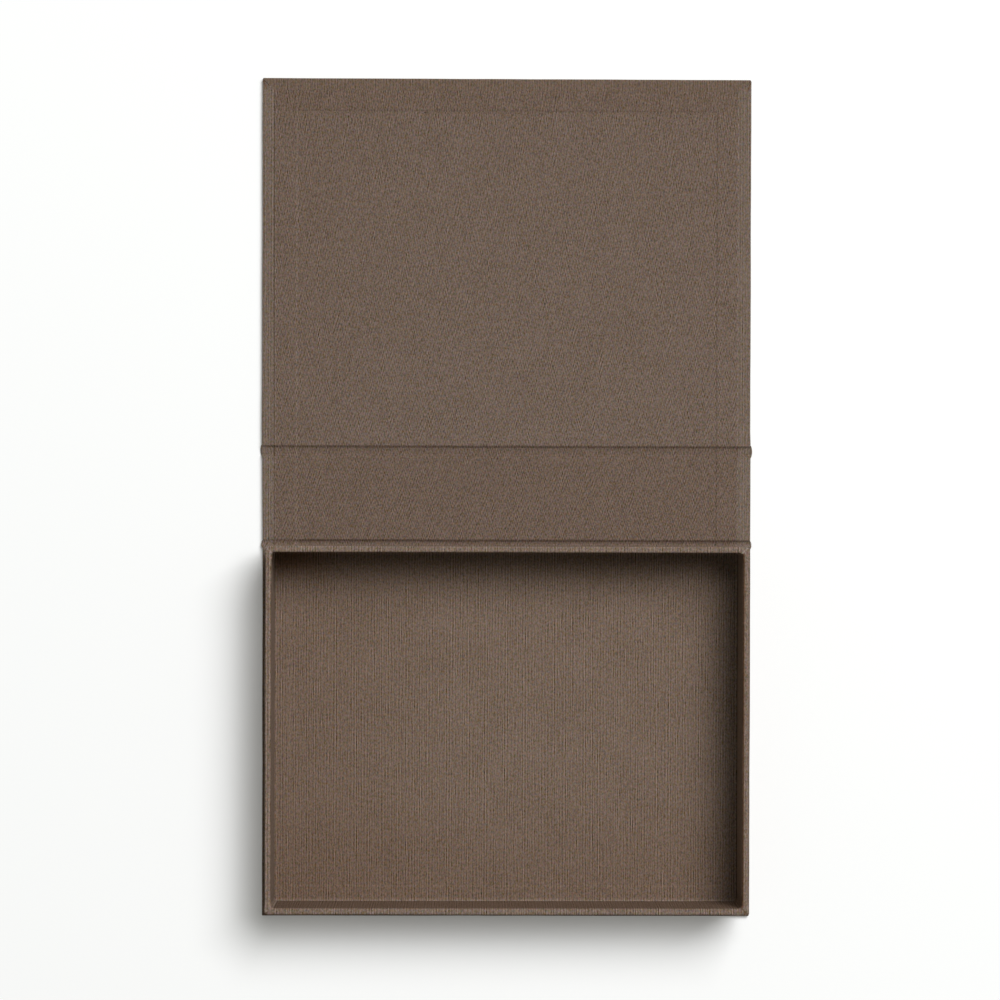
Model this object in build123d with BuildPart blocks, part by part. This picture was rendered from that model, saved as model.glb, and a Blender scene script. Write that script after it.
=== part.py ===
from build123d import *
import math
import os

# A clamshell book box, covered in book cloth, lying open and flat.
#
# Three boards (base, spine and lid) make the case. One cloth covers them outside and
# is turned in over their edges, and one lining covers the turn-ins inside. A shallow
# tray with four board walls is glued on the base board. The case folds at two cloth
# joints, each a groove between two boards that is bridged by cover and lining alone.
#
# Millimetres. +Z is up, +Y runs from the tray to the lid, +X is to the right, and the
# origin is the centre of the base's underside.

# ---------------------------------------------------------------- driving sizes

board = 2.0  # greyboard of the case and of the tray
cloth = 0.3  # book cloth as glued down, cover and lining alike

case_width = 230.0  # over the cover
base_depth = 174.3  # cover's front edge to the joint edge of the base board
rim_height = 37.5  # tray rim above the table

side_square = 3.6  # case beyond the tray at each side
front_square = 4.8  # case beyond the tray at the front

side_turn_in = 16.2  # cover turned in over the side edges
front_turn_in = 14.8  # cover turned in over the front edges
lining_side_margin = 6.0  # cover left bare outside the lining
lining_front_margin = 5.4
base_tab = 12.0  # lining carried on under the tray
tray_foot = 7.0  # tray cloth turned out on the tray floor

edge_round = 0.5  # cloth over the long edge of a board
corner_round = 0.8  # cloth round the corner of a board
shoulder_round = 0.25  # cloth pressed over the edge of a joint's groove
mitre_slit = 0.2  # between the turn-ins at a mitred corner

spine_clearance = 0.2  # closed spine to the tray's back wall
lid_clearance = 0.2  # closed lid to the tray rim
lining_clearance = 0.3  # tray floor lining to the tray walls
spine_lift = 0.7  # foot of the closed spine above the table
lid_setback = 2.2  # closed lid's joint edge in front of the tray's back face
lid_rise = 0.87  # closed lid's top above the spine's top edge

# ---------------------------------------------------------------- levels

cover_top = cloth
board_top = cover_top + board
turn_in_top = board_top + cloth
lining_top = turn_in_top + cloth

tray_bottom = turn_in_top
wall_bottom = tray_bottom + cloth
wall_top = rim_height - cloth
floor_top = wall_bottom + board
foot_top = floor_top + cloth

# ---------------------------------------------------------------- folding geometry

# Closed, the spine stands behind the tray and the lid lies on the rim. Each joint's
# groove is as wide as the cloth that has to reach round between the two boards, and
# each pivot is the one point about which a quarter turn takes a board from its open
# place to its closed place.
closed_height = rim_height + lid_clearance + lining_top
spine_back = lining_top + spine_clearance
cloth_middle = cloth / 2

base_joint_gap = math.hypot(spine_back - cloth_middle, spine_lift - cloth_middle)
lid_joint_gap = math.hypot(spine_back - cloth_middle + lid_setback, lid_rise - cloth_middle)
spine_depth = closed_height - lid_rise - spine_lift
lid_depth = base_depth - lid_setback

base_front = -base_depth / 2
base_edge = base_depth / 2
spine_near = base_edge + base_joint_gap
spine_far = spine_near + spine_depth
lid_edge = spine_far + lid_joint_gap
lid_front = lid_edge + lid_depth

base_pivot_y = base_edge + (spine_back + base_joint_gap - spine_lift) / 2
base_pivot_z = (spine_back - base_joint_gap + spine_lift) / 2
lid_pivot_y = spine_far + (lid_joint_gap + lid_rise - lid_setback - spine_back) / 2
lid_pivot_z = (spine_back + lid_rise + lid_setback - lid_joint_gap) / 2

# ---------------------------------------------------------------- plan sizes

board_half = case_width / 2 - cloth
window_half = case_width / 2 - side_turn_in
lining_half = case_width / 2 - lining_side_margin

tray_width = case_width - 2 * side_square
tray_front = base_front + front_square
tray_depth = base_edge - tray_front
tray_middle = (base_edge + tray_front) / 2
wall_inset = cloth + board
rim_width = wall_inset + cloth

os.makedirs("parts", exist_ok=True)


def finish(piece, name):
    """Name a piece and write it as its own STEP file."""
    piece.part.label = name
    export_step(piece.part, f"parts/{name}.step")


def span(half_width, near, far):
    """A rectangle in the current sketch: full width in X, near to far in Y."""
    with Locations((0, (near + far) / 2)):
        Rectangle(2 * half_width, abs(far - near))


def tray_rectangle(inset, mode=Mode.ADD):
    """The tray's outline in the current sketch, drawn in by inset on all sides."""
    with Locations((0, tray_middle)):
        Rectangle(tray_width - 2 * inset, tray_depth - 2 * inset, mode=mode)


# ---------------------------------------------------------------- case boards

with BuildPart() as base_board:
    with BuildSketch(Plane.XY.offset(cover_top)):
        span(board_half, base_front + cloth, base_edge)
    extrude(amount=board)
finish(base_board, "base_board")

with BuildPart() as spine_board:
    with BuildSketch(Plane.XY.offset(cover_top)):
        span(board_half, spine_near, spine_far)
    extrude(amount=board)
finish(spine_board, "spine_board")

with BuildPart() as lid_board:
    with BuildSketch(Plane.XY.offset(cover_top)):
        span(board_half, lid_edge, lid_front - cloth)
    extrude(amount=board)
finish(lid_board, "lid_board")


# ---------------------------------------------------------------- case cover


def wrapped_cover(joint_edge, front):
    """Cover round a board with three free edges, its corners mitred at the front.

    The sheet lies under the board, comes up round the sides and the front, and is
    turned in on top of the board round an open window.
    """
    inward = math.copysign(1, joint_edge - front)
    with BuildPart() as wrap:
        with BuildSketch():
            span(case_width / 2, joint_edge, front)
        extrude(amount=turn_in_top)
        upright = wrap.edges().filter_by(Axis.Z)
        fillet(upright.filter_by(lambda e: abs(e.center().Y - front) < cloth), corner_round)
        rims = wrap.faces().filter_by(Axis.Z).edges()
        fillet(rims.filter_by(lambda e: abs(e.center().Y - joint_edge) > cloth), edge_round)
        with BuildSketch(Plane.XY.offset(cover_top)):
            span(board_half, joint_edge, front + inward * cloth)
        extrude(amount=board, mode=Mode.SUBTRACT)
        with BuildSketch(Plane.XY.offset(board_top)):
            span(window_half, joint_edge, front + inward * front_turn_in)
            for side in (-1, 1):
                with BuildLine():
                    Line(
                        (side * board_half, front + inward * cloth),
                        (side * window_half, front + inward * (cloth + board_half - window_half)),
                    )
                    offset(amount=mitre_slit / 2)
                make_face()
        extrude(amount=cloth, mode=Mode.SUBTRACT)
    return wrap.part


with BuildPart() as base_cover:
    add(wrapped_cover(base_edge, base_front))
finish(base_cover, "base_cover")

with BuildPart() as spine_cover:
    with BuildSketch(Plane.XZ.offset(-spine_far)) as spine_section:
        with Locations((0, turn_in_top / 2)):
            Rectangle(case_width, turn_in_top)
        fillet(spine_section.vertices(), edge_round)
        with Locations((0, (cover_top + board_top) / 2)):
            Rectangle(2 * board_half, board, mode=Mode.SUBTRACT)
        with Locations((0, (board_top + turn_in_top) / 2)):
            Rectangle(2 * window_half, cloth, mode=Mode.SUBTRACT)
    extrude(amount=spine_depth)
finish(spine_cover, "spine_cover")

with BuildPart() as lid_cover:
    add(wrapped_cover(lid_edge, lid_front))
finish(lid_cover, "lid_cover")


# ---------------------------------------------------------------- case lining

# The lining lies on the board in the window and steps up on to the turn-ins round it.

with BuildPart() as base_lining:
    with BuildSketch(Plane.XY.offset(board_top)):
        span(window_half, base_edge - base_tab, base_edge)
    extrude(amount=cloth)
finish(base_lining, "base_lining")

with BuildPart() as spine_lining:
    with BuildSketch(Plane.XY.offset(board_top)):
        span(window_half, spine_near, spine_far)
    extrude(amount=cloth)
    with BuildSketch(Plane.XY.offset(turn_in_top)):
        span(lining_half, spine_near, spine_far)
        with Locations((0, (spine_near + spine_far) / 2)):
            Rectangle(2 * (window_half - cloth), spine_depth, mode=Mode.SUBTRACT)
    extrude(amount=cloth)
finish(spine_lining, "spine_lining")

lid_window_front = lid_front - front_turn_in

with BuildPart() as lid_lining:
    with BuildSketch(Plane.XY.offset(board_top)):
        span(window_half, lid_edge, lid_window_front)
    extrude(amount=cloth)
    with BuildSketch(Plane.XY.offset(turn_in_top)):
        span(lining_half, lid_edge, lid_front - lining_front_margin)
        with Locations((0, (lid_edge + lid_window_front - cloth) / 2)):
            Rectangle(
                2 * (window_half - cloth),
                lid_window_front - cloth - lid_edge,
                mode=Mode.SUBTRACT,
            )
    extrude(amount=cloth)
finish(lid_lining, "lid_lining")


# ---------------------------------------------------------------- joints


def trough(near, far, bottom, top):
    """Section of a sheet pressed into a groove: over a shoulder, across and up again."""
    middle = (near + far) / 2
    with BuildSketch() as section:
        with Locations((middle, (bottom + top) / 2)):
            Rectangle(far - near, top - bottom)
        with Locations((middle, (bottom + cloth + top) / 2)):
            Rectangle(far - near - 2 * cloth, top - bottom - cloth, mode=Mode.SUBTRACT)
        inner = section.vertices().filter_by(lambda v: near + cloth / 2 < v.X < far - cloth / 2)
        fillet(inner.filter_by(lambda v: v.Y > top - cloth / 2), shoulder_round)
    return section.sketch_local


def joint_cover(near, far):
    """Cover across a groove, folded back over itself in a hem at both ends."""
    with BuildPart() as strip:
        with BuildSketch(Plane.YZ):
            with Locations(((near + far) / 2, cloth / 2)):
                Rectangle(far - near, cloth)
        extrude(amount=case_width / 2, both=True)
        for start in (-case_width / 2, window_half):
            with BuildSketch(Plane.YZ.offset(start)):
                add(trough(near, far, cloth, turn_in_top))
            extrude(amount=side_turn_in)
    return strip.part


def joint_lining(near, far):
    """Lining across a groove, stepped up over the cover's hem at both ends."""
    with BuildPart() as strip:
        with BuildSketch(Plane.YZ):
            add(trough(near, far, cloth, turn_in_top))
        extrude(amount=window_half, both=True)
        for start in (-lining_half, window_half - cloth):
            with BuildSketch(Plane.YZ.offset(start)):
                add(trough(near + cloth, far - cloth, 2 * cloth, lining_top))
                for lip in (near + cloth / 2, far - cloth / 2):
                    with Locations((lip, (turn_in_top + lining_top) / 2)):
                        Rectangle(cloth, cloth)
            extrude(amount=lining_half - window_half + cloth)
    return strip.part


with BuildPart() as base_joint_cover:
    add(joint_cover(base_edge, spine_near))
finish(base_joint_cover, "base_joint_cover")

with BuildPart() as base_joint_lining:
    add(joint_lining(base_edge, spine_near))
finish(base_joint_lining, "base_joint_lining")

with BuildPart() as lid_joint_cover:
    add(joint_cover(spine_far, lid_edge))
finish(lid_joint_cover, "lid_joint_cover")

with BuildPart() as lid_joint_lining:
    add(joint_lining(spine_far, lid_edge))
finish(lid_joint_lining, "lid_joint_lining")

# ---------------------------------------------------------------- tray boards

with BuildPart() as tray_floor_board:
    with BuildSketch(Plane.XY.offset(wall_bottom)):
        tray_rectangle(wall_inset)
    extrude(amount=board)
finish(tray_floor_board, "tray_floor_board")

# The front and back walls run the full width, and the side walls stand between them.
wall_height = wall_top - wall_bottom
long_wall = tray_width - 2 * cloth
short_wall = tray_depth - 2 * wall_inset

with BuildPart() as tray_front_wall:
    with BuildSketch(Plane.XY.offset(wall_bottom)):
        with Locations((0, tray_front + cloth + board / 2)):
            Rectangle(long_wall, board)
    extrude(amount=wall_height)
finish(tray_front_wall, "tray_front_wall")

with BuildPart() as tray_back_wall:
    with BuildSketch(Plane.XY.offset(wall_bottom)):
        with Locations((0, base_edge - cloth - board / 2)):
            Rectangle(long_wall, board)
    extrude(amount=wall_height)
finish(tray_back_wall, "tray_back_wall")

with BuildPart() as tray_left_wall:
    with BuildSketch(Plane.XY.offset(wall_bottom)):
        with Locations((-tray_width / 2 + cloth + board / 2, tray_middle)):
            Rectangle(board, short_wall)
    extrude(amount=wall_height)
finish(tray_left_wall, "tray_left_wall")

with BuildPart() as tray_right_wall:
    with BuildSketch(Plane.XY.offset(wall_bottom)):
        with Locations((tray_width / 2 - cloth - board / 2, tray_middle)):
            Rectangle(board, short_wall)
    extrude(amount=wall_height)
finish(tray_right_wall, "tray_right_wall")

# ---------------------------------------------------------------- tray cloth


def ring(level, height, outer_inset, inner_inset):
    """A frame of the tray's outline between two insets, standing on a level."""
    with BuildSketch(Plane.XY.offset(level)) as frame:
        tray_rectangle(outer_inset)
        tray_rectangle(inner_inset, mode=Mode.SUBTRACT)
    return extrude(frame.sketch, amount=height, mode=Mode.PRIVATE)


def mitres(level, outer_inset, inner_inset):
    """A slit at each corner of the tray's outline, between two insets, on a level."""
    with BuildSketch(Plane.XY.offset(level)) as slits:
        for side in (-1, 1):
            for end in (-1, 1):
                with BuildLine():
                    Line(
                        *(
                            (
                                side * (tray_width / 2 - inset),
                                tray_middle + end * (tray_depth / 2 - inset),
                            )
                            for inset in (outer_inset, inner_inset)
                        )
                    )
                    offset(amount=mitre_slit / 2)
                make_face()
    return extrude(slits.sketch, amount=cloth, mode=Mode.PRIVATE)


# One sheet, cut to a cross. Its middle lies under the tray, and its four arms come up
# the outside, over the rim, down the inside and out on the tray floor. The arms meet
# in mitres on the rim and on the floor.
with BuildPart() as tray_cover:
    with BuildSketch(Plane.XY.offset(tray_bottom)):
        tray_rectangle(0)
    extrude(amount=cloth)
    add(ring(wall_bottom, rim_height - wall_bottom, 0, cloth))
    add(ring(floor_top, rim_height - floor_top, wall_inset, rim_width))
    add(ring(wall_top, cloth, 0, rim_width))
    add(ring(floor_top, cloth, wall_inset, rim_width + tray_foot))
    corners = tray_cover.edges().filter_by(Axis.Z)
    outer = corners.filter_by(lambda e: abs(abs(e.center().X) - tray_width / 2) < cloth / 2)
    fillet(outer, corner_round)
    rim = tray_cover.faces().filter_by(Axis.Z).sort_by(Axis.Z)[-1]
    fillet(rim.edges(), edge_round)
    add(mitres(wall_top, 0, rim_width), mode=Mode.SUBTRACT)
    add(mitres(floor_top, rim_width, rim_width + tray_foot), mode=Mode.SUBTRACT)
finish(tray_cover, "tray_cover")

# The floor lining steps up over the cloth that is turned out on the floor.
lining_inset = rim_width + lining_clearance

with BuildPart() as tray_floor_lining:
    with BuildSketch(Plane.XY.offset(floor_top)):
        tray_rectangle(rim_width + tray_foot)
    extrude(amount=cloth)
    add(ring(foot_top, cloth, lining_inset, rim_width + tray_foot + cloth))
finish(tray_floor_lining, "tray_floor_lining")

print(f"open {case_width:.2f} x {lid_front - base_front:.2f}, closed height {closed_height:.2f}")
print(f"base joint {base_joint_gap:.3f}, lid joint {lid_joint_gap:.3f}, spine {spine_depth:.3f}")
print(f"base pivot y {base_pivot_y:.4f} z {base_pivot_z:.4f}")
print(f"lid pivot y {lid_pivot_y:.4f} z {lid_pivot_z:.4f}")
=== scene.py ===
import bmesh
import bpy
import math
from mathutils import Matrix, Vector, noise


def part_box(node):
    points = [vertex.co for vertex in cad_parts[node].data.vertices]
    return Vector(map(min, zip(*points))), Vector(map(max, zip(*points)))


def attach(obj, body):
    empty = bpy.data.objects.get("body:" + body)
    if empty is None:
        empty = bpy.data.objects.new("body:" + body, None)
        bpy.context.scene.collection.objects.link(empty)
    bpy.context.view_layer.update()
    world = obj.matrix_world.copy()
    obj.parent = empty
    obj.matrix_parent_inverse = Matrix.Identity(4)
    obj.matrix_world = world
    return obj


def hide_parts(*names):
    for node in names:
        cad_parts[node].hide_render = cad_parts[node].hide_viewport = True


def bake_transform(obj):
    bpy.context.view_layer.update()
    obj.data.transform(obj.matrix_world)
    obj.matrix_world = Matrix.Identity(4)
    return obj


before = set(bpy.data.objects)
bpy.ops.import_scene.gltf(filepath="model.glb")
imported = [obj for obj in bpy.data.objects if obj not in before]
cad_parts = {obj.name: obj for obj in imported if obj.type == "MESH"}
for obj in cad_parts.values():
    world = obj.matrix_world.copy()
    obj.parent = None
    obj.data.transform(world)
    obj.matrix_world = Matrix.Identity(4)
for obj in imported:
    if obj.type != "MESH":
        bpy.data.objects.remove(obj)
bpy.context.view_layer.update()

# ---------------------------------------------------------------------------
# Greyboard. The case and the tray are built of grey paper board, cut square and
# glued. It is wholly covered by cloth, and shows only where a sheet is lifted.

mm = 0.001
GREYBOARD_PIECES = (
    "base_board",
    "spine_board",
    "lid_board",
    "tray_floor_board",
    "tray_front_wall",
    "tray_back_wall",
    "tray_left_wall",
    "tray_right_wall",
)
GREYBOARD_COLOUR = (0.235, 0.220, 0.200, 1)
GREYBOARD_FLECK = (0.140, 0.130, 0.118, 1)
GREYBOARD_ROUGHNESS = 0.85
FLECKS_PER_METRE = 1400.0
BLOTCHES_PER_METRE = 90.0
FLECK_HEIGHT = 0.05 * mm


class Value:
    """A number, colour or vector in a node tree. Sums on it add the nodes for them."""

    def __init__(self, tree, socket):
        self.tree = tree
        self.socket = socket

    def sum(self, operation, *others):
        """A Math node on this value and the others."""
        node = self.tree.nodes.new("ShaderNodeMath")
        node.operation = operation
        for place, value in enumerate((self, *others)):
            plug(self.tree, node.inputs[place], value)
        return Value(self.tree, node.outputs[0])

    def __add__(self, other):
        return self.sum("ADD", other)

    def __sub__(self, other):
        return self.sum("SUBTRACT", other)

    def __mul__(self, other):
        return self.sum("MULTIPLY", other)

    def __truediv__(self, other):
        return self.sum("DIVIDE", other)

    def __neg__(self):
        return self.sum("MULTIPLY", -1)

    def __abs__(self):
        return self.sum("ABSOLUTE")

    def __rsub__(self, other):
        return -self + other

    __radd__ = __add__
    __rmul__ = __mul__


def plug(tree, socket, value):
    """Link a Value into a socket, or write a plain value on it."""
    if isinstance(value, Value):
        tree.links.new(value.socket, socket)
    else:
        socket.default_value = value


class Workings:
    """A node tree being written, for a finish or for a shape."""

    def __init__(self, tree):
        self.tree = tree

    def node(self, kind, settings=None, inputs=None, output=0):
        """Any node: its settings first, then its sockets, by name or number."""
        made = self.tree.nodes.new(kind)
        for setting, value in (settings or {}).items():
            setattr(made, setting, value)
        for socket, value in (inputs or {}).items():
            plug(self.tree, made.inputs[socket], value)
        return Value(self.tree, made.outputs[output])

    def vector(self, x=0.0, y=0.0, z=0.0):
        return self.node("ShaderNodeCombineXYZ", inputs={"X": x, "Y": y, "Z": z})

    def parts(self, vector):
        split = self.tree.nodes.new("ShaderNodeSeparateXYZ")
        plug(self.tree, split.inputs[0], vector)
        return [Value(self.tree, output) for output in split.outputs]

    def colour_mix(self, amount, first, second):
        mix = self.tree.nodes.new("ShaderNodeMix")
        mix.data_type = "RGBA"
        for place, value in ((0, amount), (6, first), (7, second)):
            plug(self.tree, mix.inputs[place], value)
        return Value(self.tree, mix.outputs[2])


def new_finish(name):
    """A material, its workings and its shader's sockets."""
    material = bpy.data.materials.new(name)
    material.use_nodes = True
    shader = material.node_tree.nodes["Principled BSDF"]
    return material, Workings(material.node_tree), shader.inputs


def greyboard_finish():
    material, paper, shader = new_finish("greyboard")
    place = paper.node("ShaderNodeTexCoord", output="Object")
    fleck = paper.node(
        "ShaderNodeTexNoise",
        inputs={"Vector": place, "Scale": FLECKS_PER_METRE, "Detail": 3.0},
    )
    blotch = paper.node(
        "ShaderNodeTexNoise",
        inputs={"Vector": place, "Scale": BLOTCHES_PER_METRE},
    )
    colour = paper.colour_mix(fleck * 0.6 + blotch * 0.3, GREYBOARD_COLOUR, GREYBOARD_FLECK)
    plug(paper.tree, shader["Base Color"], colour)
    plug(paper.tree, shader["Roughness"], GREYBOARD_ROUGHNESS + 0.1 * blotch)
    bump = paper.node(
        "ShaderNodeBump",
        inputs={"Strength": 0.5, "Distance": FLECK_HEIGHT, "Height": fleck},
    )
    plug(paper.tree, shader["Normal"], bump)
    return material


greyboard = greyboard_finish()
for piece_name in GREYBOARD_PIECES:
    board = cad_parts[piece_name]
    board.data.materials.clear()
    board.data.materials.append(greyboard)

# ---------------------------------------------------------------------------
# Case cover. One sheet of brown linen book cloth goes under all three boards, up round
# their outer edges and in on top, mitred at the corners. It is made in two halves that
# meet unseen under the spine, and at each joint the hem sinks in.

_, lid_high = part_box("lid_cover")
base_low, base_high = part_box("base_cover")
spine_low, spine_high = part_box("spine_board")
board_low, board_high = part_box("lid_board")

# A pair of corners, depths or bulges is for the left side and the right side.
CLOTH = board_low.z
CASE_HALF = lid_high.x
CASE_EDGE = lid_high.z
CASE_CORNERS = (0.6 * mm, 1.15 * mm)
CASE_ROUND = 0.62 * mm
TURN_IN = 16.2 * mm
SEAM = (spine_low.y + spine_high.y) / 2

# The hem's own grid ends at COVER_FLAT, under the boards. Its points lie closer near an
# edge, a groove or a front.
COVER_FLAT = 20 * mm
NEAR_EDGE = 3 * mm
NEAR_GROOVE = 2.2 * mm
NEAR_FRONT = 30 * mm
MERGE_DISTANCE = 0.0005 * mm
SHARP_FOLD = math.radians(48)

BOARD = board_high.z - board_low.z
LID_GROOVE_DEPTHS = (0.70 * BOARD, 0.70 * BOARD)
BASE_GROOVE_DEPTHS = (0.36 * BOARD, 0.60 * BOARD)
GROOVE_LIP = 0.3 * mm
FAR_WALL_WIDTH = 1.1 * mm
FAR_WALL_SHARE = 0.55
NEAR_WALL_WIDTH = 1.0 * mm
LID_HEM_BULGES = (0.80 * mm, 0.85 * mm)
BASE_HEM_BULGES = (0.70 * mm, 0.62 * mm)
BULGE_PAST_GROOVE = 0.4 * mm
BULGE_FULLNESS = 0.6
BASE_BULGE_SHIFT = 0.8 * mm

EDGE_GIVE = 4 * mm
EDGE_WAVER = (22 * mm, 0.10 * mm)
DRAWN_IN = 0.24 * mm
DRAWN_IN_FROM_JOINT = 8 * mm
LEFT_LEAN_OUT = 0.17 * mm
LEFT_LEAN_ENDS = (4 * mm, 45 * mm)
LID_FRONT_SWELL = 0.28 * mm

COVER_BROWN = (0.1500, 0.1100, 0.0860)
# Painted shade on the front turn-in, for how the light catches its cloth.
FRONT_HEM_PAINTED_SHADE = -0.75
SPINE_HEM_PALE = 0.25
# The mitre's crease at each front corner gets a line of painted shade.
MITRE_RUN = (1.8 * mm, 4.6 * mm)
MITRE_WIDTH = 0.7 * mm
MITRE_PAINTED_SHADE = -2.4


def ramp(value, low, high):
    """0 below low, 1 above high, and a smooth rise between."""
    share = min(max((value - low) / (high - low), 0), 1)
    return share * share * (3 - 2 * share)


def line_shade(away, width):
    """1 on a line, and 0 at a width away from it."""
    return max(0.0, 1 - abs(away) / width)


def groove(y, near, far):
    """How far cloth is pressed into a groove, from 0 on the boards to 1 in it.

    It drops at the far board, sinks on slowly, and comes up at the near board.
    """
    wall = FAR_WALL_SHARE * ramp(-y, -far - GROOVE_LIP, FAR_WALL_WIDTH - far)
    rest = 1 - min(max((far - y) / (far - near), 0), 1)
    fall = (1 - FAR_WALL_SHARE) * (1 - rest * rest)
    return ramp(y, near - GROOVE_LIP, near + NEAR_WALL_WIDTH) * (wall + fall)


def hem_bulge(y, near, far):
    """How far a hem bulges out at the end of a groove, from 0 to 1."""
    run = far - near + GROOVE_LIP + BULGE_PAST_GROOVE
    share = (y - near + GROOVE_LIP) / run
    return math.sin(math.pi * min(max(share, 0), 1)) ** BULGE_FULLNESS


def left_lean(y):
    """How far the left edge leans out beside the lid joint, and in towards the tray."""
    past_joint = ramp(y - board_low.y, *LEFT_LEAN_ENDS)
    out = LEFT_LEAN_OUT * ramp(y, spine_high.y, board_low.y) * (1 - past_joint)
    along_spine = (spine_high.y - y) / (spine_high.y - spine_low.y)
    return out - DRAWN_IN * min(max(along_spine, 0), 1)


def stops(*spans):
    """Places along a line, from spans of (start, end, step) that follow each other."""
    places = []
    for start, end, step in spans:
        count = max(1, math.ceil(abs(end - start) / step - 1e-6))
        places += [start + (end - start) * i / count for i in range(count)]
    return places + [spans[-1][1]]


def edge_profile(height):
    """The cover's line in section at a board's edge, as (inset, level).

    It comes from the flat underside, round the edge and back in on top.
    """
    radius = min(CASE_ROUND, height / 2)
    top = height - radius
    near_edge = [radius + (NEAR_EDGE - radius) * step / 6 for step in range(7)]
    line = [(inset, 0.0) for inset in stops((COVER_FLAT, NEAR_EDGE, 6 * mm))[:-1]]
    line += [(inset, 0.0) for inset in reversed(near_edge)]
    for step in range(1, 5):
        turn = math.radians(22.5 * step)
        line.append((radius - radius * math.sin(turn), radius - radius * math.cos(turn)))
    line.append((0.0, height / 2))
    for step in range(5):
        turn = math.radians(22.5 * step)
        line.append((radius - radius * math.cos(turn), top + radius * math.sin(turn)))
    on_top = stops((NEAR_EDGE, 8 * mm, 1 * mm), (8 * mm, TURN_IN, 3 * mm))
    line += [(inset, height) for inset in near_edge[1:] + on_top[1:]]
    return line


def build_sheet(name, points, faces, uv, tone_and_painted_light):
    """A mesh piece from grids of points, with its cloth map and its tone and painted light
    values.
    """
    mesh = bpy.data.meshes.new(name)
    mesh.from_pydata(points, [], faces)
    cloth_map = mesh.uv_layers.new(name="cloth")
    for loop, place in zip(mesh.loops, uv):
        cloth_map.data[loop.index].uv = place
    tone_and_painted_light_values = mesh.attributes.new("tone_and_painted_light", "FLOAT", "POINT")
    tone_and_painted_light_values.data.foreach_set("value", tone_and_painted_light)
    work = bmesh.new()
    work.from_mesh(mesh)
    bmesh.ops.remove_doubles(work, verts=work.verts, dist=MERGE_DISTANCE)
    work.to_mesh(mesh)
    work.free()
    piece = bpy.data.objects.new(name, mesh)
    bpy.context.scene.collection.objects.link(piece)
    return piece


def settle(piece, finish):
    """Give a sheet its thickness and finish, and turn it into a plain mesh."""
    solid = piece.modifiers.new("thickness", "SOLIDIFY")
    solid.thickness = CLOTH
    solid.offset = -1
    graph = bpy.context.evaluated_depsgraph_get()
    made = piece.evaluated_get(graph)
    mesh = bpy.data.meshes.new_from_object(made, preserve_all_data_layers=True, depsgraph=graph)
    piece.modifiers.clear()
    piece.data = mesh
    mesh.materials.clear()
    mesh.materials.append(finish)
    mesh.shade_smooth()
    mesh.set_sharp_from_angle(angle=SHARP_FOLD)
    return piece


def unevenness(place, size, height):
    """The small waver of hand work, of a given wavelength and height."""
    return height * noise.noise(Vector(place) / size)


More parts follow.
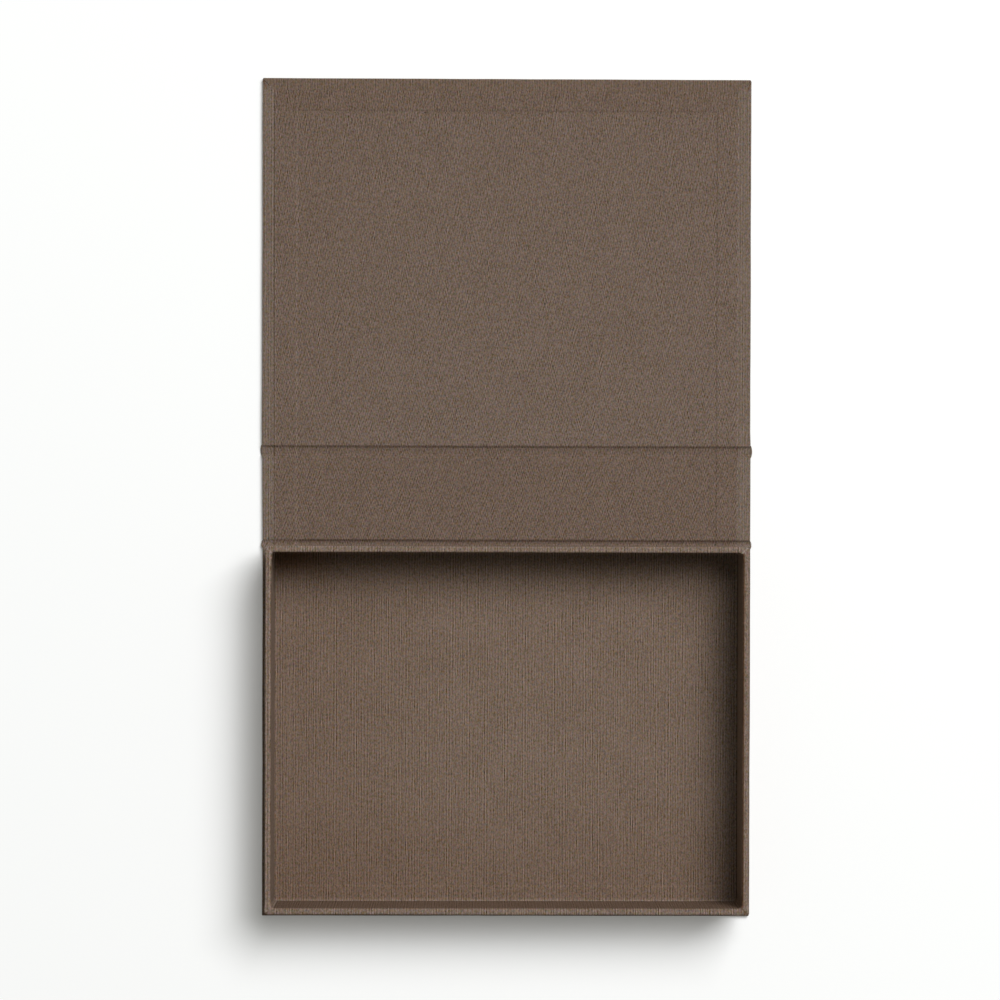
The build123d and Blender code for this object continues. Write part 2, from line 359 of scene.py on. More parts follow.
def cover_half(name, front, near, far, depths, bulges):
    """Half the case cover, from the seam on the spine to one front edge.

    The groove lies between near and far. The hem sinks into it by its depth on the
    left and on the right, and bulges out at its ends by its bulge on either side.

    The hem is a grid of stations by points of the edge's section. The stations run
    from the seam along one side, round the front and back along the other side, and
    a second grid fills the flat underside between them.
    """
    way = math.copysign(1, front - SEAM)
    length = abs(front - SEAM)
    straight_end = length - NEAR_FRONT
    low, high = sorted((way * (near - SEAM), way * (far - SEAM)))
    straight = stops(
        (0, low - NEAR_GROOVE, 4 * mm),
        (low - NEAR_GROOVE, high + NEAR_GROOVE, 0.14 * mm),
        (high + NEAR_GROOVE, straight_end, 5 * mm),
    )
    closing = [1 - (1 - i / 22) ** 1.8 for i in range(1, 23)]
    arc = [i / 8 for i in range(1, 8)]
    across = [i / 76 for i in range(77)]
    across = [0.55 * t + 0.45 * (0.5 - 0.5 * math.cos(math.pi * t)) for t in across]

    stations = [("side", t, False) for t in straight]
    stations += [("closing", t, False) for t in closing]
    stations += [("arc", t, False) for t in arc[:4]]
    stations += [("arc", t, True) for t in arc[3:]]
    stations += [("front", t, True) for t in across]

    def place(kind, t, inset, mirror):
        """Plan position and outward direction of a station at an inset, left half."""
        radius = max(CASE_CORNERS[mirror] - inset, 0.0)
        side_x = -(CASE_HALF - inset)
        corner = Vector((side_x + radius, length - inset - radius))
        if kind == "side":
            return Vector((side_x, t)), Vector((-1, 0))
        if kind == "closing":
            return Vector((side_x, straight_end + t * (corner.y - straight_end))), Vector((-1, 0))
        if kind == "arc":
            angle = math.pi - t * math.pi / 2
            out = Vector((math.cos(angle), math.sin(angle)))
            return corner + radius * out, out
        return Vector((corner.x * (1 - 2 * t), corner.y + radius)), Vector((0, 1))

    def column(kind, t, front_map, mirror):
        """Points, map places and tone values with painted shade up one station's section."""
        sunk = 0.0
        bulge = 0.0
        if kind == "side":
            sunk = groove(SEAM + way * t, near, far)
            shift = BASE_BULGE_SHIFT if way < 0 else 0.0
            bulge = hem_bulge(SEAM + way * t + shift, near, far) * bulges[mirror]
        rows = []
        reach = CASE_HALF - COVER_FLAT
        last = None
        for inset, level in edge_profile(CASE_EDGE - depths[mirror] * sunk):
            plan, out = place(kind, t, inset, mirror)
            if last is not None:
                reach += math.hypot(inset - last[0], level - last[1])
            last = (inset, level)
            on_top = level > CASE_EDGE / 2
            from_front = length - plan.y
            # Painted shade on the front turn-in.
            tone_and_painted_light = FRONT_HEM_PAINTED_SHADE if front_map and on_top else 0.0
            # Painted shade in the mitre's crease.
            if kind == "closing" and on_top and from_front < MITRE_RUN[1]:
                off_mitre = inset - MITRE_RUN[0] * from_front / MITRE_RUN[1]
                tone_and_painted_light = MITRE_PAINTED_SHADE * line_shade(off_mitre, MITRE_WIDTH)
            if kind == "side" and t < low:
                tone_and_painted_light = SPINE_HEM_PALE
            at_side = 1.0 - t if kind == "arc" else float(kind != "front")
            proud = bulge + unevenness((plan.x, plan.y, 3), *EDGE_WAVER)
            if way > 0:
                proud += LID_FRONT_SWELL * (1.0 - at_side)
            if not mirror:
                proud += left_lean(SEAM + way * plan.y) * at_side
            elif way > 0:
                proud -= DRAWN_IN * at_side * ramp(plan.y, high, high + DRAWN_IN_FROM_JOINT)
            plan = plan + out * proud * max(0.0, 1 - inset / EDGE_GIVE)
            x = -plan.x if mirror else plan.x
            y = SEAM + way * plan.y
            cloth_place = (reach if mirror else -reach, y)
            if front_map:
                cloth_place = (x, SEAM + way * (length - CASE_HALF + reach))
            rows.append(((x, y, level), cloth_place, tone_and_painted_light))
        return rows

    columns = [column(kind, t, front_map, False) for kind, t, front_map in stations]
    columns += [
        column(kind, t, front_map, True)
        for kind, t, front_map in reversed(stations)
        if kind != "front"
    ]
    points = [point for rank in columns for point, _, _ in rank]
    tone_and_painted_light_values = [tone_and_painted_light for rank in columns for _, _, tone_and_painted_light in rank]
    faces = []
    uv = []
    rows = len(columns[0])
    for i in range(len(columns) - 1):
        for j in range(rows - 1):
            corners = ((i, j), (i, j + 1), (i + 1, j + 1), (i + 1, j))
            faces.append([a * rows + b for a, b in corners])
            uv += [columns[a][b][1] for a, b in corners]

    inner_y = straight + [straight_end + t * (NEAR_FRONT - COVER_FLAT) for t in closing]
    inner_x = [(COVER_FLAT - CASE_HALF) * (1 - 2 * t) for t in across]
    first = len(points)
    for y in inner_y:
        for x in inner_x:
            points.append((x, SEAM + way * y, 0.0))
            tone_and_painted_light_values.append(0.0)
    wide = len(inner_x)
    for i in range(len(inner_y) - 1):
        for j in range(wide - 1):
            corners = ((i, j), (i + 1, j), (i + 1, j + 1), (i, j + 1))
            face = [first + a * wide + b for a, b in corners]
            faces.append(face)
            uv += [points[k][:2] for k in face]
    if way < 0:
        faces = [list(reversed(face)) for face in faces]
        uv = [uv[4 * (k // 4) + 3 - k % 4] for k in range(len(uv))]
    return build_sheet(name, points, faces, uv, tone_and_painted_light_values)


# Sizes in the weave are in mm, and a pair is across and along the thick threads, but
# SLUB_PITCHES gives each pitch of theirs with its share.
SLUB_PITCHES = ((1.606, 0.72), (1.368, 0.57), (1.182, 0.84), (1.058, 0.98))
SLUB_WANDER = (14.0, 200.0)
SLUB_WIDTH = 3.0
SLUB_SWELL = 3.0
FLOAT_RATE = 0.388
FLOAT_DRIFT = 0.00043
WARP_PITCH = 0.50
WEFT_PITCH = 0.44
WEAVE_DRIFT = (9.0, 14.0)
COARSE_GRAIN = (1.1, 2.0)
FINE_GRAIN = (0.42, 0.82)
CLOUD = (16.0, 22.0)
DYE_SPOT = (1.0, 1.2)

# How much each shows in the cloth's light and dark, in its relief and in its dye.
SLUB_LIGHT = 0.25
COARSE_LIGHT = 0.06
FINE_LIGHT = 1.28
WEAVE_LIGHT = 0.05
SLUB_RELIEF = 0.4
GRAIN_RELIEF = 0.6
WARP_RELIEF = 0.20
WEFT_RELIEF = 0.14
DYE_BY_LIGHT = (0.90, 1.0, 1.18)
# How each colour follows the tone values: darks go redder, as painted shade for light bounced
# between the brown cloths.
DYE_BY_TONE_AND_PAINTED_LIGHT = (0.17, 0.24, 0.30)
RED_SPOTS = 0.50
BLUE_SPOTS = 0.80
DARKEST = 0.1
CLOTH_ROUGHNESS = 0.90
CLOTH_SHINE = 0.2
THREAD_HEIGHT = 0.05 * mm


def cloth_finish(name, brown, slubs, nap, clouds, lean, run, seed):
    """Linen book cloth, dyed brown: slubbed threads along Y, fine ones across.

    slubs is how strongly the thick threads show, nap how strongly the fine grain
    does, and clouds how strongly the dye varies from place to place. lean is 1 where
    the thick threads pass over and under each other, and 0 where they lie straight.
    run is how far a thick stretch runs on. seed gives each sheet its own threads.
    """
    material, weave, shader = new_finish(name)
    across, along, _ = weave.parts(weave.node("ShaderNodeUVMap", {"uv_map": "cloth"}))
    across = across / mm
    along = along / mm

    def spread(size, step, output="Fac"):
        """Smooth noise of one size, each step with its own pattern."""
        at = weave.vector(across / size[0], along / size[1], seed + step)
        sockets = {"Vector": at, "Scale": 1.0, "Detail": 0.0}
        return weave.node("ShaderNodeTexNoise", inputs=sockets, output=output)

    def slub_lines(order, pitch, share):
        """Thick threads at one pitch, that wander a little and swell along their run."""
        wander = spread(SLUB_WANDER, 1.0 + order) - 0.5
        swell = 0.5 + (spread((SLUB_WIDTH, run), 11.0 + order) - 0.5) * SLUB_SWELL
        way = -1.0 if order % 2 == 0 else 1.0
        turns = across / pitch + wander + turn * way
        return (turns * (2 * math.pi)).sum("COSINE") * swell * share

    def dyed(channel, spots=0.0):
        """One colour of the dye, as the threads, its spots and the tone and painted light change
        it.
        """
        lit = (light * DYE_BY_LIGHT[channel] + spots + 1.0).sum("MAXIMUM", DARKEST)
        return lit * (tone_and_painted_light * DYE_BY_TONE_AND_PAINTED_LIGHT[channel] + 1.0) * brown[channel]

    turn = (along * FLOAT_RATE - along * along * FLOAT_DRIFT) * lean
    slub = sum(slub_lines(order, *sizes) for order, sizes in enumerate(SLUB_PITCHES)) * slubs
    drift = spread(WEAVE_DRIFT, 7.0) - 0.5
    warp = ((across + drift * 0.5) / WARP_PITCH).sum("PINGPONG", 0.5) * 2.0
    weft = ((along + drift * 0.4) / WEFT_PITCH).sum("PINGPONG", 0.5) * 2.0
    coarse = spread(COARSE_GRAIN, 8.3) - 0.5
    fine = spread(FINE_GRAIN, 8.6) - 0.5
    grain = coarse * COARSE_LIGHT + fine * (FINE_LIGHT * nap)
    cloud = (spread(CLOUD, 9.0) - 0.5) * clouds
    relief = slub * SLUB_RELIEF + grain * GRAIN_RELIEF + warp * WARP_RELIEF + weft * WEFT_RELIEF
    light = slub * SLUB_LIGHT + grain + cloud + (warp + weft - 1.0) * WEAVE_LIGHT
    # The tone attribute carries wear and a pale cut line, but mostly painted light and shade.
    tone_and_painted_light = weave.node("ShaderNodeAttribute", {"attribute_name": "tone_and_painted_light"}, output="Fac")
    red_spot, _, blue_spot = weave.parts(spread(DYE_SPOT, 30.0, "Color"))
    colour = weave.node(
        "ShaderNodeCombineColor",
        inputs={
            "Red": dyed(0, (red_spot - 0.5) * RED_SPOTS),
            "Green": dyed(1),
            "Blue": dyed(2, (blue_spot - 0.5) * BLUE_SPOTS),
        },
    )
    plug(weave.tree, shader["Base Color"], colour)
    plug(weave.tree, shader["Roughness"], CLOTH_ROUGHNESS - 0.06 * relief)
    shader["Specular IOR Level"].default_value = CLOTH_SHINE
    bump = weave.node(
        "ShaderNodeBump",
        inputs={"Strength": 0.6, "Distance": THREAD_HEIGHT, "Height": relief},
    )
    plug(weave.tree, shader["Normal"], bump)
    return material


cover_cloth = cloth_finish(
    "cover_cloth", COVER_BROWN, slubs=0.68, nap=0.78, clouds=0.14, lean=0.0, run=6.0, seed=0.0
)

lid_cover = cover_half(
    "case_cover_lid_half",
    lid_high.y,
    spine_high.y,
    board_low.y,
    LID_GROOVE_DEPTHS,
    LID_HEM_BULGES,
)
settle(lid_cover, cover_cloth)
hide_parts("lid_cover", "lid_joint_cover")

base_cover = cover_half(
    "case_cover_base_half",
    base_low.y,
    base_high.y,
    spine_low.y,
    BASE_GROOVE_DEPTHS,
    BASE_HEM_BULGES,
)
settle(base_cover, cover_cloth)
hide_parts("base_cover", "base_joint_cover", "spine_cover")

for piece, front, parent, child, joint in (
    (lid_cover, lid_high.y, "spine", "lid", "lid_hinge"),
    (base_cover, base_low.y, "tray", "spine", "spine_hinge"),
):
    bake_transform(piece)
    abs(front - SEAM) + CASE_EDGE + TURN_IN

# ---------------------------------------------------------------------------
# Case lining. A second sheet of the same cloth is glued inside the case, over the
# turn-ins, which show through it as a low step. It is pressed into both joints with a
# bone folder, and its end goes under the tray. Again two halves meet on the spine.

_, lining_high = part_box("lid_lining")
window_low, window_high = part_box("base_lining")
LINING_HALF = lining_high.x
WINDOW_HALF = window_high.x
LINING_FRONT = lining_high.y
WINDOW_FRONT = lid_high.y - 14.8 * mm
LINING_LEVEL = board_high.z + CLOTH
TAB_HALF = WINDOW_HALF - 1 * mm
TAB_SHOULDER = base_high.y - 0.3 * mm
LEFT_OVERHANG = 0.25 * mm
STEP_WIDTH = 0.7 * mm
LINING_WAVER = 0.05 * mm
WAVERS_PER_METRE = 28.0
RIPPLES_PER_METRE = 160.0
STEP_WAVER = 0.2 * mm
STEP_RIPPLE = 0.06 * mm
FRONT_STEP_EASE = 1.7
FAR_WALL_RIPPLE = 0.4 * mm
NEAR_WALL_RIPPLE = 0.3 * mm
FALL_MARGIN = 0.6 * mm
HEM_EASE_REACH = 2 * mm
CURL_REACH = 1.4 * mm
SIDE_CURL = 1.2
END_CURL = 2.0
LID_PRESS = {
    "groove_depth": 0.70 * BOARD,
    "groove_wall": 1.1 * mm,
    "groove_fall": 0.48,
    "hem_ease": 0.04,
}
BASE_PRESS = {
    "groove_depth": 0.60 * BOARD,
    "groove_wall": 0.95 * mm,
    "groove_fall": 0.40,
    "hem_ease": 0.5,
}
FAR_OFF = 9.0

LINING_BROWN = (0.1365, 0.0958, 0.0738)
CUT_WIDTH = 0.05 * mm
# The cut's dark line is painted shade for the shadow of the sheet's step.
CUT_EDGE_PAINTED_SHADE = -3.0
CUT_EDGE_PALE = 1.8
JOINT_CUT_PAINTED_SHADE = -1.8
BESIDE_CUT = 0.3 * mm
BESIDE_CUT_WIDTH = 0.35 * mm
SPINE_SHADE = -0.18
FRONT_STEP_PAINTED_SHADE = -0.30
NEAR_JOINT_PAINTED_LIGHT = 0.25
LEFT_SIDE_PAINTED_SHADE = -0.20
LEFT_SIDE_END = -0.3 * LINING_HALF
STEP_PAINTED_HIGHLIGHT = 0.45
GROOVE_PAINTED_SHADE = -0.35
GROOVE_SHADE_OFFSET = 0.4 * mm
GROOVE_SHADE_WIDTH = 0.9 * mm


def cut_edge(inset):
    """Shade of a sheet's edge: painted shade at the cut, for its step's shadow, and the cloth
    beside it pale.
    """
    if inset < CUT_WIDTH:
        return CUT_EDGE_PAINTED_SHADE
    return CUT_EDGE_PALE * line_shade(inset - BESIDE_CUT, BESIDE_CUT_WIDTH)


def flat_sheet(name, xs, ys, shade, keep=None):
    """A flat sheet of cloth with its threads mapped straight, ready to be pressed."""
    points = [(x, y, 0.0) for y in ys for x in xs]
    wide = len(xs)
    faces = []
    for i in range(len(ys) - 1):
        for j in range(wide - 1):
            middle = ((xs[j] + xs[j + 1]) / 2, (ys[i] + ys[i + 1]) / 2)
            first = i * wide + j
            if keep is None or keep(*middle):
                faces.append([first, first + 1, first + wide + 1, first + wide])
    uv = [points[k][:2] for face in faces for k in face]
    return build_sheet(name, points, faces, uv, [shade(x, y) for x, y, _ in points])


def lining_shade(x, y):
    """The lining's shade: its cut edges with painted shade at the left cut, a painted
    highlight on its step on the left, and painted shade in the joints.

    It is darker on the spine, has painted shade over the front turn-in and on the lid's
    left, and painted light on the lid towards the joint.
    """
    inset = LINING_HALF + (LEFT_OVERHANG if x < 0 else 0) - abs(x)
    shade = cut_edge(inset)
    # The right side faces the lamp, so its cut has no painted shade.
    if x > 0 and inset < CUT_WIDTH:
        shade = 0.0
    # In the joints the painted shade at the cut is wider.
    if spine_high.y < y < board_low.y and inset < BESIDE_CUT:
        shade = JOINT_CUT_PAINTED_SHADE
    shade += SPINE_SHADE * ramp(-y, -board_low.y, -spine_high.y)
    # Painted shade over the front turn-in.
    shade += FRONT_STEP_PAINTED_SHADE * ramp(y, WINDOW_FRONT - 1 * mm, WINDOW_FRONT + 1 * mm)
    # Painted highlight on the left step, which faces the lamp.
    shade += STEP_PAINTED_HIGHLIGHT * line_shade(x + WINDOW_HALF, STEP_WIDTH)
    # Painted shade in the two joints.
    for edge in (board_low.y, spine_low.y):
        shade += GROOVE_PAINTED_SHADE * line_shade(edge - GROOVE_SHADE_OFFSET - y, GROOVE_SHADE_WIDTH)
    if y > board_low.y:
        # Painted shade on the lid's left, away from the lamp.
        shade += LEFT_SIDE_PAINTED_SHADE * (1 - ramp(x, -LINING_HALF, LEFT_SIDE_END))
        # Painted light on the lid, growing towards the joint.
        shade += NEAR_JOINT_PAINTED_LIGHT * (LINING_FRONT - y) / (LINING_FRONT - board_low.y)
    return shade


def pressing_tree():
    """Geometry nodes that press a flat sheet over turn-ins and into a groove.

    Hem Ease is how much less the sheet sinks in over the turn-in on the left.
    """
    tree = bpy.data.node_groups.new("pressed_lining", "GeometryNodeTree")
    tree.interface.new_socket("Geometry", in_out="INPUT", socket_type="NodeSocketGeometry")
    for name in (
        "Level",
        "Step",
        "Step Width",
        "Side Step",
        "Back Step",
        "Front Step",
        "Sheet Half",
        "Sheet Back",
        "Sheet Front",
        "Groove Near",
        "Groove Far",
        "Groove Depth",
        "Groove Wall",
        "Groove Fall",
        "Hem Ease",
        "Curl",
        "Waver",
    ):
        tree.interface.new_socket(name, in_out="INPUT", socket_type="NodeSocketFloat")
    tree.interface.new_socket("Finish", in_out="INPUT", socket_type="NodeSocketMaterial")
    tree.interface.new_socket("Geometry", in_out="OUTPUT", socket_type="NodeSocketGeometry")
    press = Workings(tree)
    given = tree.nodes.new("NodeGroupInput")

    def size(name):
        return Value(tree, given.outputs[name])

    def rise(value, low, high):
        return press.node(
            "ShaderNodeMapRange",
            {"interpolation_type": "SMOOTHSTEP"},
            {"Value": value, "From Min": low, "From Max": high},
        )

    def step_at(value, line, reach):
        """0 short of a line and 1 past it, rising over its reach on either side."""
        return rise(value, line - reach, line + reach)

    def uneven(rate):
        """Smooth noise of so many waves to the metre, above and below nothing."""
        sockets = {"Vector": here, "Scale": rate, "Detail": 1.0}
        return press.node("ShaderNodeTexNoise", inputs=sockets) - 0.5

    here = press.node("GeometryNodeInputPosition")
    x, y, _ = press.parts(here)
    side = abs(x)
    waver = uneven(WAVERS_PER_METRE)
    ripple = uneven(RIPPLES_PER_METRE)

    drift = waver * STEP_WAVER + ripple * STEP_RIPPLE
    reach = size("Step Width") / 2
    side_step = step_at(side + drift, size("Side Step"), reach)
    front_step = step_at(y + drift, size("Front Step"), reach * FRONT_STEP_EASE)
    back_step = step_at(drift - y, -size("Back Step"), reach)
    stepped = side_step.sum("MAXIMUM", front_step).sum("MAXIMUM", back_step)

    near = size("Groove Near")
    far = size("Groove Far")
    into = far - y + ripple * FAR_WALL_RIPPLE
    shoulder = rise(into, -GROOVE_LIP, size("Groove Wall"))
    rest = 1.0 - press.node(
        "ShaderNodeMapRange",
        {"interpolation_type": "LINEAR"},
        {"Value": into, "From Min": FALL_MARGIN, "From Max": far - near - FALL_MARGIN},
    )
    fallen = 1.0 - rest * rest
    pressed = shoulder * (1.0 - size("Groove Fall")) + fallen * size("Groove Fall")
    near_wall = rise(y + ripple * NEAR_WALL_RIPPLE, near - GROOVE_LIP, near + NEAR_WALL_WIDTH)
    over_hem = step_at(-x, size("Side Step"), HEM_EASE_REACH)
    pressed = pressed * near_wall * (1.0 - over_hem * size("Hem Ease"))

    side_curl = step_at(side, size("Sheet Half"), CURL_REACH) * SIDE_CURL
    back_curl = step_at(-y, -size("Sheet Back"), CURL_REACH) * END_CURL
    front_curl = step_at(y, size("Sheet Front"), CURL_REACH) * END_CURL
    curled = side_curl.sum("MAXIMUM", back_curl).sum("MAXIMUM", front_curl)
    level = size("Level") + size("Step") * stepped - size("Groove Depth") * pressed
    level = level + size("Curl") * curled + waver * size("Waver")
    moved = press.node(
        "GeometryNodeSetPosition",
        inputs={"Geometry": size("Geometry"), "Offset": press.vector(z=level)},
    )
    real = press.node("GeometryNodeRealizeInstances", inputs={"Geometry": moved})
    done = press.node(
        "GeometryNodeSetMaterial",
        inputs={"Geometry": real, "Material": size("Finish")},
    )
    out = tree.nodes.new("NodeGroupOutput")
    plug(tree, out.inputs["Geometry"], done)
    return tree


pressed_lining = pressing_tree()


def press_sheet(piece, finish, **sizes):
    """Press a flat sheet by the tree, with the sizes given by name."""
    modifier = piece.modifiers.new("pressed", "NODES")
    modifier.node_group = pressed_lining
    given = [item for item in pressed_lining.interface.items_tree if item.in_out == "INPUT"]
    sockets = {item.name: item.identifier for item in given}
    modifier[sockets["Finish"]] = finish
    for name, value in sizes.items():
        modifier[sockets[name.replace("_", " ").title()]] = float(value)
    return settle(piece, finish)


lining_cloth = cloth_finish(
    "lining_cloth", LINING_BROWN, slubs=0.74, nap=0.97, clouds=0.07, lean=1.0, run=14.0, seed=20.0
)


def side_lines(half):
    """Places from the middle of the lining to one side, close at the step and edge."""
    return stops(
        (0, WINDOW_HALF - 3 * mm, 4.5 * mm),
        (WINDOW_HALF - 3 * mm, WINDOW_HALF + 3 * mm, 0.3 * mm),
        (WINDOW_HALF + 3 * mm, half - 1 * mm, 1.2 * mm),
        (half - 1 * mm, half, 0.25 * mm),
    )


left_xs = [-x for x in reversed(side_lines(LINING_HALF + LEFT_OVERHANG)[1:])]
lining_xs = left_xs + side_lines(LINING_HALF)
lid_ys = stops(
    (SEAM, spine_high.y - 1 * mm, 4 * mm),
    (spine_high.y - 1 * mm, board_low.y + 1.6 * mm, 0.12 * mm),
    (board_low.y + 1.6 * mm, WINDOW_FRONT - 3 * mm, 4.5 * mm),
    (WINDOW_FRONT - 3 * mm, WINDOW_FRONT + 3 * mm, 0.3 * mm),
    (WINDOW_FRONT + 3 * mm, LINING_FRONT - 1 * mm, 1.2 * mm),
    (LINING_FRONT - 1 * mm, LINING_FRONT, 0.25 * mm),
)
lid_lining = flat_sheet("case_lining_lid_half", lining_xs, lid_ys, lining_shade)
press_sheet(
    lid_lining,
    lining_cloth,
    level=LINING_LEVEL,
    step=CLOTH,
    step_width=STEP_WIDTH,
    side_step=WINDOW_HALF,
    back_step=-FAR_OFF,
    front_step=WINDOW_FRONT,
    sheet_half=LINING_HALF,
    sheet_back=-FAR_OFF,
    sheet_front=LINING_FRONT,
    groove_near=spine_high.y,
    groove_far=board_low.y,
    **LID_PRESS,
    curl=0,
    waver=LINING_WAVER,
)
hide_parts("lid_lining", "lid_joint_lining")

tab_ys = stops(
    (window_low.y, base_high.y - 1 * mm, 4 * mm),
    (base_high.y - 1 * mm, spine_low.y + 1.6 * mm, 0.12 * mm),
    (spine_low.y + 1.6 * mm, SEAM, 4 * mm),
)


def on_base_lining(x, y):
    """Whether there is cloth there: the tab under the tray is cut narrower."""
    return y > TAB_SHOULDER or abs(x) < TAB_HALF


base_lining = flat_sheet(
    "case_lining_base_half", lining_xs, tab_ys, lining_shade, keep=on_base_lining
)
press_sheet(
    base_lining,
    lining_cloth,
    level=LINING_LEVEL,
    step=CLOTH,
    step_width=STEP_WIDTH,
    side_step=WINDOW_HALF,
    back_step=-FAR_OFF,
    front_step=FAR_OFF,
    sheet_half=LINING_HALF,
    sheet_back=-FAR_OFF,
    sheet_front=FAR_OFF,
    groove_near=base_high.y,
    groove_far=spine_low.y,
    **BASE_PRESS,
    curl=0,
    waver=LINING_WAVER,
)
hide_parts("base_lining", "base_joint_lining", "spine_lining")

for piece, end, parent, child, joint in (
    (lid_lining, LINING_FRONT, "spine", "lid", "lid_hinge"),
    (base_lining, window_low.y, "tray", "spine", "spine_hinge"),
):
    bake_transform(piece)
    abs(end - SEAM)

# ---------------------------------------------------------------------------
# Tray cover. One sheet, cut to a cross, is folded up round the four board walls,
# over the rims and down inside on to the floor. Each corner is mitred on the rim,
# with an ear of cloth wrapped round the corner underneath, which swells it a little.

tray_low, tray_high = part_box("tray_cover")
_, floor_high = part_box("tray_floor_board")
TRAY_CENTRE = (tray_low + tray_high) / 2
TRAY_HALF = (tray_high - tray_low) / 2
RIM_WIDTH = 2.6 * mm
RIM_ROUND = 0.6 * mm
TRAY_CORNER = 1.8 * mm
FOOT_ROUND = 0.45 * mm
TRAY_FLOOR = floor_high.z + CLOTH
FLOOR_FLAP = 7.0 * mm
UNDER_EDGE = 14 * mm
HAIR = 0.01 * mm

WALL_WAVER = (26 * mm, 0.12 * mm)
WALL_RIPPLE = (7 * mm, 0.03 * mm)
EAR_LENGTH = 4.5 * mm
EAR_SLOPE = 1.5 * mm
EAR_SWELL = 0.28 * mm
FRONT_RIM_SWELL = 0.40 * mm
INNER_RIM_SWELL = {"back": 0.22 * mm, "left": 0.22 * mm, "right": -0.22 * mm}
LEFT_OUTER_LEAN = 0.20 * mm
LEFT_OUTER_LEAN_ENDS = (27 * mm, 53 * mm)
LEFT_INNER_LEAN = 0.26 * mm
LEFT_INNER_LEAN_ENDS = (5 * mm, 45 * mm)
RIM_LIFT = 0.2

TRAY_BROWN = (0.1480, 0.1010, 0.0750)
WORN_FOOT = 0.3
WORN_EDGE = 1.0
WORN_WIDTH = 1.2 * mm
# Painted shade on the inner walls, lighter on the left, which faces the lamp, and darker on the
# right and its rim's inner edge.
INNER_WALL_PAINTED_SHADE = -0.85
LEFT_WALL_PAINTED_LIGHT = 0.55
RIGHT_WALL_PAINTED_SHADE = -0.55
RIGHT_RIM_PAINTED_SHADE = -2.2
# The rim's mitres: pale frayed cloth, with painted light on the back corners, which face the
# lamp, and painted shade on the front right one.
MITRE_FRAY_AND_PAINTED_LIGHT = {(1, 1): 4.0, (-1, 1): 3.0, (-1, -1): 1.2, (1, -1): -1.0}
TRAY_RUN = [1 - (1 - i / 30) ** 1.7 for i in range(31)]


def wall_profile():
    """The tray cover's line in section through a wall, from the underside to the floor.

    Each point is its inset, its level, its shade (wear on the rims, painted shade on the
    inner walls), its way out and the corner radius that it turns on.
    """
    low = tray_low.z
    high = tray_high.z
    top = high - RIM_ROUND
    bottom = TRAY_FLOOR + FOOT_ROUND
    line = [
        (UNDER_EDGE, low, 0.0, (0, -1), 0.0),
        (7 * mm, low, 0.0, (0, -1), 0.0),
        (2 * mm, low, 0.0, (0, -1), 0.5 * mm),
    ]
    for step in range(5):
        turn = math.radians(22.5 * step)
        away = (-math.sin(turn), -math.cos(turn))
        inset = FOOT_ROUND + FOOT_ROUND * away[0]
        level = low + FOOT_ROUND + FOOT_ROUND * away[1]
        line.append((inset, level, WORN_FOOT, away, TRAY_CORNER - inset))
    outer_levels = stops(
        (low + FOOT_ROUND, 4.5 * mm, 0.5 * mm),
        (4.5 * mm, top - 2 * mm, 2.6 * mm),
        (top - 2 * mm, top, 0.5 * mm),
    )
    for level in outer_levels[1:]:
        shade = WORN_EDGE * line_shade(top - level, WORN_WIDTH)
        line.append((0.0, level, shade, (-1, 0), TRAY_CORNER))
    for step in range(1, 6):
        turn = math.radians(18 * step)
        away = (-math.cos(turn), math.sin(turn))
        inset = RIM_ROUND + RIM_ROUND * away[0]
        line.append((inset, top + RIM_ROUND * away[1], WORN_EDGE, away, TRAY_CORNER))
    for share in (0.25, 0.5, 0.75):
        inset = RIM_ROUND + share * (RIM_WIDTH - 2 * RIM_ROUND)
        line.append((inset, high, WORN_EDGE, (0, 1), TRAY_CORNER))
    for step in range(6):
        turn = math.radians(18 * step)
        away = (math.sin(turn), math.cos(turn))
        inset = RIM_WIDTH - RIM_ROUND + RIM_ROUND * away[0]
        # Round the rim's inner edge the wear gives way to the inner walls' painted shade.
        shade = WORN_EDGE - (WORN_EDGE - INNER_WALL_PAINTED_SHADE) * step / 8
        line.append((inset, top + RIM_ROUND * away[1], shade, away, TRAY_CORNER))
    inner_levels = stops(
        (top, top - 2 * mm, 0.5 * mm),
        (top - 2 * mm, bottom + 2 * mm, 2.6 * mm),
        (bottom + 2 * mm, bottom, 0.5 * mm),
    )
    for level in inner_levels[1:]:
        line.append((RIM_WIDTH, level, INNER_WALL_PAINTED_SHADE, (1, 0), TRAY_CORNER))
    for step in range(1, 5):
        turn = math.radians(22.5 * step)
        away = (math.cos(turn), math.sin(turn))
        inset = RIM_WIDTH + FOOT_ROUND - FOOT_ROUND * away[0]
        level = bottom - FOOT_ROUND * away[1]
        line.append((inset, level, INNER_WALL_PAINTED_SHADE, away, TRAY_CORNER))
    for reach in (3 * mm, FLOOR_FLAP):
        inset = RIM_WIDTH + FOOT_ROUND + reach
        line.append((inset, TRAY_FLOOR, 0.0, (0, 1), TRAY_CORNER))
    return line


def tray_quarter():
    """Stations round one quarter of the tray: half a side, a corner, half a front."""
    turn = [i / 12 for i in range(1, 12)]
    stations = [("side", t, False) for t in TRAY_RUN]
    stations += [("arc", t, False) for t in turn[:6]]
    stations += [("arc", t, True) for t in turn[5:]]
    stations += [("front", t, True) for t in reversed(TRAY_RUN)]
    return stations


def tray_place(kind, t, inset, radius):
    """Plan position and outward direction of a station in the +X +Y quarter."""
    corner = Vector((TRAY_HALF.x - inset - radius, TRAY_HALF.y - inset - radius))
    if kind == "side":
        return Vector((TRAY_HALF.x - inset, t * corner.y)), Vector((1, 0))
    if kind == "front":
        return Vector((t * corner.x, TRAY_HALF.y - inset)), Vector((0, 1))
    out = Vector((math.cos(t * math.pi / 2), math.sin(t * math.pi / 2)))
    return corner + radius * out, out


